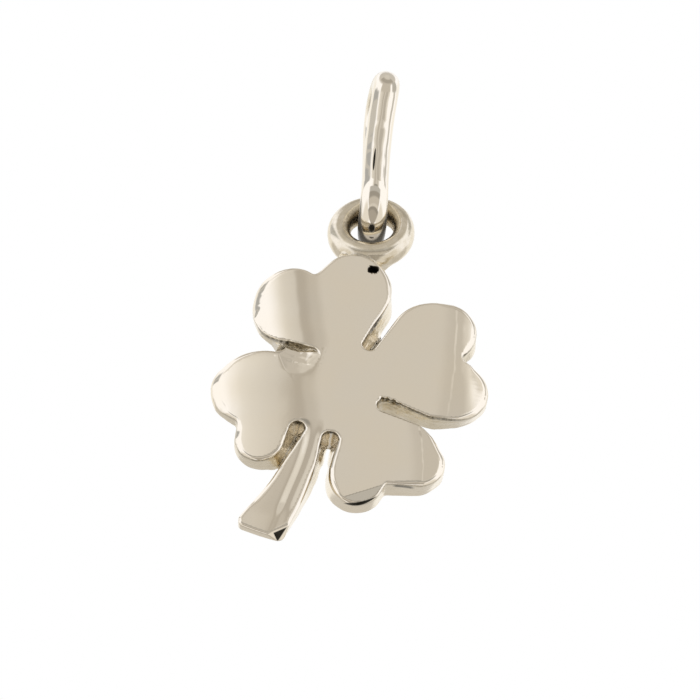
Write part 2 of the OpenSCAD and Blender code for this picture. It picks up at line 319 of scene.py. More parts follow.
STEM = [(-0.50, 0.0), (-0.42, 2.0), (-0.35, 9.3), (-0.23, 9.6), (-0.16, 6.2), (-0.03, 5.6), (0.02, 10.2), (0.06, 12.2), (0.15, 12.4),
        (0.20, 9.0), (0.26, 5.2), (0.36, 3.4), (0.6, 2.4), (0.9, 1.4), (1.2, 0.8), (1.6, 2.5)]
BEVEL = [(-0.07, 0), (-0.035, 3.0), (-0.015, 7.0), (0.045, 8.5), (0.075, 10.2), (0.2, 11.4), (0.5, 12.5)]
# the two chords along which the bottom leaf's lower edge was stoned: two points, and from and to which x
CHORDS = [((0.165, -4.632), (1.285, -4.120), -0.15, 1.60), ((1.701, -3.864), (2.886, -3.696), 1.62, 2.95)]
# small flats cut by a stone: a point of the flat, the way it falls in degrees from straight down to the right, and its slope
FLATS = [
    ((-2.05, -0.585, -5.95), 27.0, 14.0),
    ((-2.06, -0.525, -6.13), 27.0, 54.0),
]
# left of this line is the left leaf, right of it the stem
STEM_LINE = [(-6.6, -9.0), (-3.75, -9.0), (-3.45, -2.75), (-3.0, -2.18), (-2.5, -2.0), (-1.9, -1.76), (-1.5, -1.60)]


WEB_AT, WEB_WAY = belt_point(25, RUN[25]), (math.cos(RUN[25]), math.sin(RUN[25]))


def hollow(x, z):
    """The sunk corner by the left slit: its depth, and the distances from the slit's upper edge and along it."""
    c, sn = WEB_WAY
    off = -(x - WEB_AT[0]) * sn + (z - WEB_AT[1]) * c
    along = (x - WEB_AT[0]) * c + (z - WEB_AT[1]) * sn
    fold = (x + 2.587) * 0.904 + (z - 1.018) * 0.4266
    right = smooth(along, -0.15, 0.55)
    deep = 0.125 * (0.45 + 0.55 * right) * (1 - off / 1.25 + np.hypot(1 - off / 1.25, 0.04))
    side = 0.15 * (fold + 0.12 + np.hypot(fold + 0.12, 0.04))
    deep = np.maximum(smin(deep, side, 0.04), 0)
    groove = smooth(along, -0.36, -0.20) * (0.045 + 0.085 * right) * (1 - off / 0.15 + np.hypot(1 - off / 0.15, 0.2))
    # towards its mouth it falls away to the back
    mouth = 0.16 * smooth(along, 0.55, 1.25) * (1 - off / 0.56 + np.hypot(1 - off / 0.56, 0.10))
    deep = (deep + 0.005 * waves_pit(x * 0.7, 0, z * 0.7) * smooth(deep, 0.02, 0.1)) * smooth(along, -0.42, 0.20) + groove
    return np.maximum(deep, mouth), off, along


def flat_part(x, z):
    """All that depends on the place in the drawing only."""
    F = {}
    d, nx, nz, arc = outline_distance(x, z)
    F["outline"] = d
    fade = smooth(np.abs(d), 0.75, 0.35)
    d = d - fade * np.interp(arc, *EDGE_FRONT)
    rf = places(x, z, FRONT_EDGE, 0.14)
    rb = places(x, z, BACK_EDGE, 0.14)
    # a rounded edge keeps the outline's silhouette as it is seen from a little below
    keep = 0.34 * np.where(nz > 0, rf * nz, -rb * nz)
    late = (nz < 0) * smooth(z, 0.85, 1.05) * smooth(x, -1.05, -1.35)
    d = d - keep * (1 - late)
    near = places(x, z, ROUGH, 0.35)
    F["near"] = near
    F["d"] = d
    F["rf"], F["rb"] = rf, rb
    F["spread"] = places(x, z, SPREAD, 0.0, 0.25) + fade * np.interp(arc, *EDGE_BACK) + keep * late
    # the front falls back to both sides
    low = smooth(z, 1.34, 1.00)
    u = soft_line(LEFT_LINE, z, 0.40) - x + 0.012 * np.sin(5.1 * z)
    left = integrated(u, LEFT_TOP) * (1 - low) + integrated(u, LEFT_LOW) * low
    v = x - np.where(z > -1.17, soft_line(RIGHT_LINE, z, 0.45), line(BOTTOM_LINE, z))
    v = v + smooth(v, 0.40, 0.12) * (0.014 * np.sin(4.3 * z) + 0.008 * np.sin(11.0 * z + 1))
    high = smooth(z, -1.0, 1.7)
    right = integrated(v, RIGHT_TOP) * high + integrated(v, RIGHT_LOW) * (1 - high)
    right = np.where(z < -1.17, integrated(v, RIGHT_FOOT), right)
    # the left leaf's corner sinks into the slit above it, which is not cut through there
    deep, off, along = hollow(x, z)
    sink = deep * smooth(off, 0.25, 0.52)
    # the stem: a rib, and a facet to its left
    stem = smooth(z, -1.50, -2.45)
    zone = smooth(x, -0.55, -0.85)
    w = (soft_line(RIDGE, z, 0.35) - x) * 0.96
    rib = integrated(w, STEM) * (1 - 0.45 * smooth(z, -5.0, -5.7))
    leaf = smooth(x, line(STEM_LINE, z) + 0.06, line(STEM_LINE, z) - 0.06)
    sag = left * (1 - stem * (1 - leaf)) + right + rib * stem * zone * (1 - leaf) + sink
    # the bottom leaf's lower edge was stoned off to a bevel
    for (ax, az_), (bx, bz), x0, x1 in CHORDS:
        t = np.array([bx - ax, bz - az_]) / math.hypot(bx - ax, bz - az_)
        below = (x - ax) * t[1] - (z - az_) * t[0]
        sag = sag + smooth(x, x0 - 0.04, x0 + 0.04) * smooth(x, x1 + 0.04, x1 - 0.04) * smooth(z, -3.3, -3.5) * integrated(below, BEVEL)
    F["sag"] = sag + 0.0016 * waves_wide(x, 0, z) + 0.00035 * waves_fine(x, 0, z)
    F["web_front"] = F["sag"] + deep - sink - HALF + 0.05 * smooth(off, 0.66, 0.80)
    F["web_edge"] = np.maximum(np.maximum(-0.15 - off, off - 0.95), np.maximum(-0.50 - along, along - 1.25))
    F["back"] = np.maximum(0, (-4.0 - z)) * (0.66 / 2.4)
    # nicks in the sawn edges
    nick = np.zeros_like(d)
    for px, pz, r, deep in NICKS:
        nick = np.maximum(nick, bump(np.hypot(x - px, z - pz), r) * deep)
    F["nick"] = nick
    return F


NICKS = [(1.22, -0.50, 0.10, 0.07), (1.42, -0.52, 0.07, 0.05), (1.66, -0.60, 0.12, 0.08), (1.90, -0.72, 0.08, 0.05),
         (-2.62, 1.58, 0.12, 0.05), (-2.30, 1.45, 0.10, 0.05), (-1.95, 1.28, 0.12, 0.07), (-1.72, 1.20, 0.08, 0.06), (-3.0, 1.72, 0.12, 0.05),
         (4.12, 1.55, 0.14, 0.05), (-4.05, -1.62, 0.12, 0.04)]


def rmax(a, b, r):
    """Rounded joint of two signed distances."""
    p, q = np.maximum(a + r, 0), np.maximum(b + r, 0)
    return np.minimum(np.maximum(a + r, b + r), 0) + np.hypot(p, q) - r


def smin(a, b, k):
    h = np.clip(0.5 + 0.5 * (b - a) / k, 0, 1)
    return b * (1 - h) + a * h - k * h * (1 - h)


RING_AXES = rot_z(-EYELET_TWIST) @ rot_x(math.pi / 2 - EYELET_LEAN)   # its third column is the ring's axis


def ring_distance(x, y, z):
    px, py, pz = x - EYELET_MID[0], y - EYELET_MID[1], z - EYELET_MID[2]
    m = RING_AXES
    a = m[0, 0] * px + m[1, 0] * py + m[2, 0] * pz
    b = m[0, 1] * px + m[1, 1] * py + m[2, 1] * pz
    c = m[0, 2] * px + m[1, 2] * py + m[2, 2] * pz
    rho = np.hypot(a, b)
    ang = np.arctan2(b, a)
    # the hand-made wire is a little flattened and uneven, and thicker inwards at its lower left
    g = 0.065 * (0.5 + 0.5 * np.cos(ang + rad(118))) ** 1.2
    u = (rho - EYELET_R + g) / (EYELET_ACROSS + g + 0.006 * np.sin(2 * ang + 0.6))
    v = c / (EYELET_ALONG - 0.006 + 0.010 * np.sin(3 * ang + 1.2))
    e = 2.15
    s = (np.abs(u) ** e + np.abs(v) ** e + 1e-12) ** (1 / e)
    # first-order distance
    gu = np.abs(u) ** (e - 1) / EYELET_ACROSS
    gv = np.abs(v) ** (e - 1) / EYELET_ALONG
    g = np.sqrt(gu * gu + gv * gv) / np.maximum(s ** (e - 1), 1e-9)
    return (s - 1) / np.maximum(g, 0.3)


def ball(x, y, z, c, r):
    """An oval lump or hollow: c its middle, r its three half sizes."""
    s = np.sqrt(((x - c[0]) / r[0]) ** 2 + ((y - c[1]) / r[1]) ** 2 + ((z - c[2]) / r[2]) ** 2)
    return (s - 1) * min(r)


def flat_distance(k, x, y, z):
    (px, py, pz), way, slope = FLATS[k]
    w, sl = rad(way), rad(slope)
    flat = (x - px) * math.sin(sl) * math.sin(w) - (y - py) * math.cos(sl) - (z - pz) * math.sin(sl) * math.cos(w)
    return np.where(np.hypot(x - px, z - pz) < 0.8, flat, -1.0)


def plate_distance(x, y, z, F):
    depth = np.clip((y + HALF) / (2 * HALF), 0, 1)
    d = F["d"] - F["spread"] * smooth(depth, 0.10, 1.0)
    on_wall = smooth(depth, 0.05, 0.16) * smooth(depth, 1.0, 0.9)
    near = F["near"]
    d = d + on_wall * 0.006 * near * waves_wall(x, y * 0.5, z)
    d = d + on_wall * near * 0.0025 * waves_wall2(x, y, z)
    d = d + F["nick"] * smooth(depth, 0.30, 0.05)
    f = rmax(d, F["sag"] - HALF - y, F["rf"])
    f = rmax(f, y - (HALF - F["back"]), F["rb"])
    for k in range(len(FLATS)):
        f = rmax(f, flat_distance(k, x, y, z), 0.03)
    web = rmax(rmax(F["web_edge"], F["web_front"] - y, 0.03), y - 0.42, 0.04)
    return smin(f, web, 0.012)


# the drawing as it is seen from below: across and down, from x, y, z and 1
SHEET_LEAF = ((27.575, -1.749, 2.18, 348.55), (2.714, 11.542, -25.057, 387.123))
SHEET_FOOT = ((27.664, -1.479, 2.321, 349.483), (2.72, 11.447, -25.195, 386.339))
PIT = np.array([0.520, -HALF, 4.595])
# lumps of solder between the leaf and the eyelet: middle, half sizes, softness
SOLDER = [
    ((0.20, -0.18, 5.06), (0.62, 0.20, 0.12), 0.14),
    ((-0.62, -0.05, 5.16), (0.14, 0.30, 0.14), 0.12),
    ((0.25, 0.28, 5.10), (0.70, 0.24, 0.22), 0.20),
]


def clover_distance(x, y, z, F):
    f = plate_distance(x, y, z, F)
    top = z > 3.9
    if top.any():
        xt, yt, zt, ft = x[top], y[top], z[top], f[top]
        ring = ring_distance(xt, yt, zt)
        g = smin(ft, ring, 0.09)
        for c, r, k in SOLDER:
            g = smin(g, ball(xt, yt, zt, c, r), k)
        # the pit beside them
        hole = ball(xt, yt, zt, (PIT[0] - 0.01, PIT[1] - 0.03, PIT[2]), (0.172, 0.42, 0.155)) + 0.016 * waves_pit(xt, yt, zt)
        g = -smin(-g, hole, 0.02)
        f[top] = g
    return f


def surface_nets(f, origin, h):
    """Vertices and quads of the surface where the sampled field f changes sign. Negative is inside."""
    s = f < 0
    nx, ny, nz = f.shape
    corners = [(i, j, k) for i in (0, 1) for j in (0, 1) for k in (0, 1)]
    cnt = np.zeros((nx - 1, ny - 1, nz - 1), np.int8)
    for i, j, k in corners:
        cnt += s[i:nx - 1 + i, j:ny - 1 + j, k:nz - 1 + k]
    active = (cnt > 0) & (cnt < 8)
    ci = np.argwhere(active)
    index = np.full(active.shape, -1, np.int64)
    index[active] = np.arange(len(ci))
    vals = np.stack([f[ci[:, 0] + i, ci[:, 1] + j, ci[:, 2] + k] for i, j, k in corners], axis=1)
    pos = np.zeros((len(ci), 3))
    num = np.zeros(len(ci))
    for a in range(8):
        for b in range(a + 1, 8):
            ca, cb = np.array(corners[a]), np.array(corners[b])
            if np.abs(ca - cb).sum() != 1:
                continue
            va, vb = vals[:, a], vals[:, b]
            m = (va < 0) != (vb < 0)
            t = va[m] / (va[m] - vb[m])
            pos[m] += ca + t[:, None] * (cb - ca)
            num[m] += 1
    verts = origin + (ci + pos / num[:, None]) * h
    quads = []
    # edges along x, y and z
    for axis in range(3):
        lo = [slice(1, -1)] * 3
        hi = [slice(1, -1)] * 3
        lo[axis], hi[axis] = slice(0, -1), slice(1, None)
        a, b = s[tuple(lo)], s[tuple(hi)]
        p = np.argwhere(a != b)
        inside_first = a[tuple(p.T)]
        for q in range(3):
            if q != axis:
                p[:, q] += 1
        u, w = (axis + 1) % 3, (axis + 2) % 3

        def cell(du, dw):
            c = p.copy()
            c[:, u] += du
            c[:, w] += dw
            return index[c[:, 0], c[:, 1], c[:, 2]]
        q = np.stack([cell(-1, -1), cell(0, -1), cell(0, 0), cell(-1, 0)], axis=1)
        q[~inside_first] = q[~inside_first][:, ::-1]
        quads.append(q)
    return verts, np.concatenate(quads)


def solve(p, e=0.004):
    """Distance and its gradient at points p."""
    x, y, z = p.T
    F = flat_part(x, z)
    f = clover_distance(x, y, z, F)
    g = np.empty_like(p)
    g[:, 1] = (clover_distance(x, y + e, z, F) - clover_distance(x, y - e, z, F)) / (2 * e)
    g[:, 0] = (clover_distance(x + e, y, z, flat_part(x + e, z)) - clover_distance(x - e, y, z, flat_part(x - e, z))) / (2 * e)
    g[:, 2] = (clover_distance(x, y, z + e, flat_part(x, z + e)) - clover_distance(x, y, z - e, flat_part(x, z - e))) / (2 * e)
    return f, g


def build_clover(h):
    x = np.arange(-5.30, 5.36, h)
    y = np.arange(-1.02, 1.40, h)
    z = np.arange(-6.80, 8.30, h)
    xx, zz = np.meshgrid(x, z, indexing="ij")
    xr, zr = xx.ravel(), zz.ravel()
    F = flat_part(xr, zr)
    field = np.empty((len(x), len(y), len(z)))
    for j, yy in enumerate(y):
        field[:, j, :] = clover_distance(xr, np.full(xr.size, yy), zr, F).reshape(xx.shape)
    verts, quads = surface_nets(field, np.array([x[0], y[0], z[0]]), h)
    for step in range(3):
        f, g = solve(verts)
        n2 = np.maximum((g * g).sum(1), 0.2)
        move = -(f / n2)[:, None] * g
        size = np.linalg.norm(move, axis=1)
        move *= np.minimum(1, 0.5 * h / np.maximum(size, 1e-9))[:, None]
        verts = verts + move
    f, g = solve(verts)
    normals = g / np.linalg.norm(g, axis=1)[:, None]
    return verts, quads, normals


def to_world(p):
    return HANG_AT + (p - eyelet_top) @ HANG.T


def make_object(name, verts, faces, normals, attributes):
    """verts in mm in the model's frame."""
    me = bpy.data.meshes.new(name)
    n = faces.shape[1]
    me.vertices.add(len(verts))
    me.vertices.foreach_set("co", (verts * MM).astype(np.float32).ravel())
    me.loops.add(faces.size)
    me.loops.foreach_set("vertex_index", faces.astype(np.int32).ravel())
    me.polygons.add(len(faces))
    me.polygons.foreach_set("loop_start", np.arange(0, faces.size, n, dtype=np.int32))
    me.update(calc_edges=True)
    me.validate()
    me.polygons.foreach_set("use_smooth", np.ones(len(me.polygons), bool))
    me.normals_split_custom_set_from_vertices(normals.astype(np.float32))
    for key, values in attributes.items():
        if values.ndim == 2:
            at = me.attributes.new(key, "FLOAT_VECTOR", "POINT")
            at.data.foreach_set("vector", values.astype(np.float32).ravel())
        else:
            at = me.attributes.new(key, "FLOAT", "POINT")
            at.data.foreach_set("value", values.astype(np.float32))
    me.update()
    ob = bpy.data.objects.new(name, me)
    bpy.context.scene.collection.objects.link(ob)
    return ob


def make_clover():
    h = 0.055
    v, q, n = build_clover(h)
    x, y, z = v.T
    F = flat_part(x, z)
    ring_d = ring_distance(x, y, z)
    plate_d = plate_distance(x, y, z, F)
    ring = smooth(ring_d, 0.10, 0.02) * smooth(plate_d, -0.03, 0.05)
    depth = (y + HALF) / (2 * HALF)
    front = F["sag"] - HALF
    # satin where the sawn wall was never polished
    wall = smooth(np.hypot(n[:, 0], n[:, 2]), 0.82, 0.96) * smooth(plate_d, 0.08, 0.02) * (1 - ring)
    wall = wall * smooth(y - front, 0.02, 0.07)
    near = F["near"]
    # dark deposit and painted shade in corners: under the front edge of the rough stretches, darker where the wall
    # faces down, in the pit and the solder seam
    under = smooth(y - front, 0.012, 0.045) * smooth((y - front) / places(x, z, UNDER, 0.22), 1.0, 0.45)
    end = np.zeros(len(v))
    for i, much in SLITS:
        end = np.maximum(end, much * bump(np.hypot(x - CENTRE[i][0], z - CENTRE[i][1]), 0.75))
    facing_down = smooth(-n[:, 2] + 0.8 * np.abs(n[:, 0]), 0.1, 0.5)
    grime_and_shade = wall * near * facing_down * np.maximum(under, end * smooth(depth, 0.9, 0.2))
    grime_and_shade = grime_and_shade * (1 + 0.9 * np.exp(-((x - 0.88) ** 2 + (z - 2.40) ** 2) / 0.40 ** 2))
    for px, pz in ((-1.74, -1.72), (-0.52, -2.05)):
        grime_and_shade = grime_and_shade * (1 + 1.2 * np.exp(-((x - px) ** 2 + (z - pz) ** 2) / 0.30 ** 2))
    _, off, along = hollow(x, z)
    grime_and_shade = grime_and_shade * (1 - smooth(off, 0.18, 0.28) * smooth(off, 1.2, 1.0) * smooth(along, -0.6, -0.4) * smooth(along, 1.9, 1.7))
    seam_and_dark_line = bump(ring_d, 0.10) * bump(plate_d, 0.10) * (z > 4.4)
    pit = (np.hypot(x - PIT[0], z - PIT[2]) < 0.23) * smooth(y, PIT[1] + 0.004, PIT[1] + 0.03) * (y < 0.0)
    # the hole of the eyelet was never polished inside, and its lower part is painted darker as shade
    m = RING_AXES
    p = v - EYELET_MID
    rho = np.hypot(p @ m[:, 0], p @ m[:, 1])
    inside = smooth(rho, EYELET_R - 0.16, EYELET_R - 0.31) * (ring_d < 0.05) * smooth(p[:, 2], -0.45, 0.0)
    grime_and_shade = np.clip(np.maximum(np.maximum(grime_and_shade, seam_and_dark_line * 0.5), np.maximum(pit * 3.0, inside * 0.55)), 0, 3.0)
    satin = np.clip(wall * (0.20 + 0.80 * near), 0, 1)
    pale_painted_light = np.zeros(len(v))
    for px, pz, reach in PALE:
        pale_painted_light = np.maximum(pale_painted_light, smooth(np.hypot(x - px, z - pz), reach, 0.6 * reach))
    pale_painted_light = pale_painted_light * smooth(plate_d, 0.08, 0.02) * smooth(y - front, 0.02, 0.07) * (1 - ring)
    pale_painted_light = pale_painted_light * smooth(np.hypot(n[:, 0], n[:, 2]), 0.45, 0.80)
    # where the painted shade and dark reflections go on the small steep faces: two coordinates across the drawing, as
    # it is seen from below
    one = np.ones(len(v))
    sheet = np.stack([np.stack([x, y, z, one], axis=1) @ np.array(w) for w in SHEET_LEAF], axis=1)
    foot = np.stack([np.stack([x, y, z, one], axis=1) @ np.array(w) for w in SHEET_FOOT], axis=1)
    low = z < -5.3
    sheet[low] = foot[low] + np.array([400.0, 0.0])
    sheet = np.concatenate([sheet, np.where(z < -3.0, y, 1.0)[:, None]], axis=1)
    shade = np.zeros(len(v))
    satin = satin * (1 - shade) * (1 - 0.5 * pale_painted_light)
    return make_object("clover_detailed", to_world(v), q, n @ HANG.T,
                       {"satin": satin, "grime_and_shade": grime_and_shade, "ring": ring, "shade": shade, "pale_painted_light": pale_painted_light, "sheet": sheet,
                        "seam_and_dark_line": np.stack([0 * x, 0 * x, 0 * x], axis=1)})


# ------------------------------------------------------------------ bail
BAIL_ARC = math.pi * BAIL_END
BAIL_TOTAL = 2 * BAIL_ARC + 2 * BAIL_SIDE

# the wire's small departures from a true oval: distance along the wire from the
# lower end of its front side, shift to the right, shift to the back
BAIL_BEND = [
    (0.00, -0.070, 0.000), (0.40, -0.098, 0.000), (0.60, -0.105, 0.008), (1.20, -0.118, 0.046), (1.50, -0.118, 0.053), (2.20, -0.110, 0.040),
    (3.00, -0.088, 0.018), (3.66, -0.035, 0.000), (4.40, 0.000, 0.000), (4.97, -0.010, 0.000), (5.62, -0.055, 0.000),
    (6.28, -0.110, 0.000), (6.93, -0.150, 0.000), (7.59, -0.160, 0.000), (8.25, -0.110, 0.000), (9.25, -0.060, 0.000),
    (10.25, -0.020, 0.000), (11.25, 0.026, 0.000), (12.4, 0.000, 0.000), (13.21, -0.030, 0.000), (13.87, -0.045, 0.000), (14.52, -0.070, 0.000),
]
_bs = np.array([r[0] for r in BAIL_BEND] + [BAIL_TOTAL])
_grid = np.arange(600) * BAIL_TOTAL / 600


def _softened(column):
    v = np.interp(_grid, _bs, np.array([r[column] for r in BAIL_BEND] + [BAIL_BEND[0][column]]))
    k = np.exp(-0.5 * (np.minimum(_grid, BAIL_TOTAL - _grid) / 0.28) ** 2)
    k /= k.sum()
    return np.real(np.fft.ifft(np.fft.fft(v) * np.fft.fft(k)))


_bend_x, _bend_y = _softened(1), _softened(2)


def periodic(values, s):
    """Smooth reading of a closed table, by Catmull-Rom curves."""
    n = len(values)
    u = (s / BAIL_TOTAL % 1.0) * n
    i = np.floor(u).astype(int)
    f = u - i
    p0, p1, p2, p3 = (values[(i + k) % n] for k in (-1, 0, 1, 2))
    return p1 + 0.5 * f * (p2 - p0 + f * (2 * p0 - 5 * p1 + 4 * p2 - p3 + f * (3 * (p1 - p2) + p3 - p0)))


def bail_centre(s):
    """Middle line of the bail's wire, in its own plane: y to the back, z up from the lower centre; and its outward way."""
    s = s % BAIL_TOTAL
    y, z = np.empty_like(s), np.empty_like(s)
    oy, oz = np.empty_like(s), np.empty_like(s)
    # up the front, over the top, down the back and round the bottom
    m = s < BAIL_SIDE
    y[m], z[m], oy[m], oz[m] = -BAIL_END, s[m], -1, 0
    m = (s >= BAIL_SIDE) & (s < BAIL_SIDE + BAIL_ARC)
    a = (s[m] - BAIL_SIDE) / BAIL_END
    oy[m], oz[m] = -np.cos(a), np.sin(a)
    y[m], z[m] = BAIL_END * oy[m], BAIL_SIDE + BAIL_END * oz[m]
    m = (s >= BAIL_SIDE + BAIL_ARC) & (s < 2 * BAIL_SIDE + BAIL_ARC)
    y[m], z[m], oy[m], oz[m] = BAIL_END, 2 * BAIL_SIDE + BAIL_ARC - s[m], 1, 0
    m = s >= 2 * BAIL_SIDE + BAIL_ARC
    a = (s[m] - 2 * BAIL_SIDE - BAIL_ARC) / BAIL_END
    oy[m], oz[m] = np.cos(a), -np.sin(a)
    y[m], z[m] = BAIL_END * oy[m], BAIL_END * oz[m]
    return y, z, oy, oz


bail_waves = Waves(21, 1.3, 10)
bail_waves2 = Waves(22, 0.60, 12)

# hammer marks and draw marks: distance along the wire, angle round it in degrees (90 is outwards,
# 180 is left), their half sizes along and round, and depth
MARKS = [
    (2.05, 84, 0.50, 20, 0.010), (1.05, 112, 0.42, 26, 0.009), (0.55, 66, 0.34, 24, 0.008), (2.9, 120, 0.45, 24, 0.008),
    (3.35, 58, 0.40, 22, 0.008), (4.0, 100, 0.38, 28, 0.013), (4.55, 75, 0.35, 30, 0.010), (14.75, 105, 0.30, 24, 0.008),
    (14.2, 80, 0.26, 22, 0.010), (13.7, 98, 0.24, 20, 0.008), (8.6, 95, 0.5, 26, 0.009), (10.1, 80, 0.5, 24, 0.009),
    (1.6, 20, 0.6, 26, 0.007), (2.6, 170, 0.6, 28, 0.007), (9.4, 150, 0.6, 26, 0.007), (6.3, 90, 0.5, 30, 0.008),
]


def bail_point(s, a):
    """Surface of the bail, s along the wire and a round it."""
    y, z, oy, oz = bail_centre(s)
    wx, wr = np.cos(a), np.sin(a)
    r = BAIL_WIRE / 2 + 0.008
    dent = 0.0030 * bail_waves(wx * 0.48, y + oy * wr * 0.48, z + oz * wr * 0.48)
    dent = dent + 0.0012 * bail_waves2(wx * 0.48, y + oy * wr * 0.48, z + oz * wr * 0.48)
    for ms, ma, ls, la, deep in MARKS:
        ds = (s - ms + BAIL_TOTAL / 2) % BAIL_TOTAL - BAIL_TOTAL / 2
        da = (a - rad(ma) + math.pi) % (2 * math.pi) - math.pi
        dent = dent - deep * bump(np.hypot(ds / ls, da / rad(la)), 1.6)
    r = r + dent
    bx, by = periodic(_bend_x, s), periodic(_bend_y, s)
    # a little thicker at the top and wider at the lower end
    top = bump(s - BAIL_SIDE - BAIL_ARC / 2, 2.1)
    r = r + 0.034 * top
    low = bump(s - 13.9, 1.7)
    return np.stack([bx + (1 + 0.085 * low) * r * wx, y + by + (r * wr + 0.022 * top) * oy, z + (r * wr + 0.022 * top) * oz], axis=-1)


def make_bail():
    nt, na = 360, 84
    s = np.arange(nt) / nt * BAIL_TOTAL
    a = np.arange(na) / na * 2 * math.pi
    ss, aa = (v.ravel() for v in np.meshgrid(s, a, indexing="ij"))
    p = bail_point(ss, aa)
    ds = bail_point(ss + 2e-3, aa) - bail_point(ss - 2e-3, aa)
    da = bail_point(ss, aa + 2e-3) - bail_point(ss, aa - 2e-3)
    n = np.cross(ds, da)
    n /= np.linalg.norm(n, axis=1)[:, None]
    i = np.arange(nt)[:, None]
    j = np.arange(na)[None, :]

    def at(i, j):
        return (i % nt) * na + (j % na)
    q = np.stack([at(i, j), at(i + 1, j), at(i + 1, j + 1), at(i, j + 1)], axis=-1).reshape(-1, 4)
    y, z, oy, oz = bail_centre(ss)
    if ((p - np.stack([0 * y, y, z], axis=-1)) * n).sum() < 0:
        n = -n
        q = q[:, ::-1]
    m = rot_y(-BAIL_LEAN)
    zero = np.zeros(len(p))
    # painted shade on the underside of the lower end, behind the eyelet
    shade = 0.86 * smooth(n[:, 1] + 0.35 * n[:, 0] ** 2, -0.17, -0.06) * smooth(n[:, 2], -0.05, -0.30) * (z < 0.0) * (np.sin(aa) > -0.2)
    # painted dark reflections: an oval and a short dash on the lower end
    for s0, a0, ls, la in ((1.396, 91, 0.135, 13), (1.734, 88, 0.036, 10)):
        g = np.hypot((ss - (BAIL_TOTAL - s0)) / ls, (np.degrees(aa) - a0) / la)
        shade = np.maximum(shade, smooth(g, 1.12, 0.88))
    # a fine dark line painted on the wire's front, a painted dark reflection: how wide it is, and the place across the
    # wire
    width = 0.088 * np.sqrt(np.clip(1 - ((ss - 0.83) / 0.50) ** 2, 0, 1))
    seam_and_dark_line = np.stack([width, np.cos(aa) - (-0.225 + 0.055 * (ss - 0.83)), np.where(np.sin(aa) > 0, 1.0, 0.0)], axis=1)
    sheet = np.stack([0 * ss, 0 * ss, 0 * ss + 1.0], axis=1)
    # the top is worn duller by the chain
    cap = 1.2 * smooth(np.abs(ss - BAIL_SIDE - BAIL_ARC / 2), 1.25, 0.75)
    return make_object("bail_detailed", A + p @ m.T, q, n @ m.T,
                       {"satin": zero, "grime_and_shade": zero, "ring": cap, "shade": shade, "pale_painted_light": zero, "sheet": sheet, "seam_and_dark_line": seam_and_dark_line})


clover = make_clover()
bail = make_bail()
for ob, node in ((clover, "clover"), (bail, "bail")):
    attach(ob, node)
    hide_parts(node)


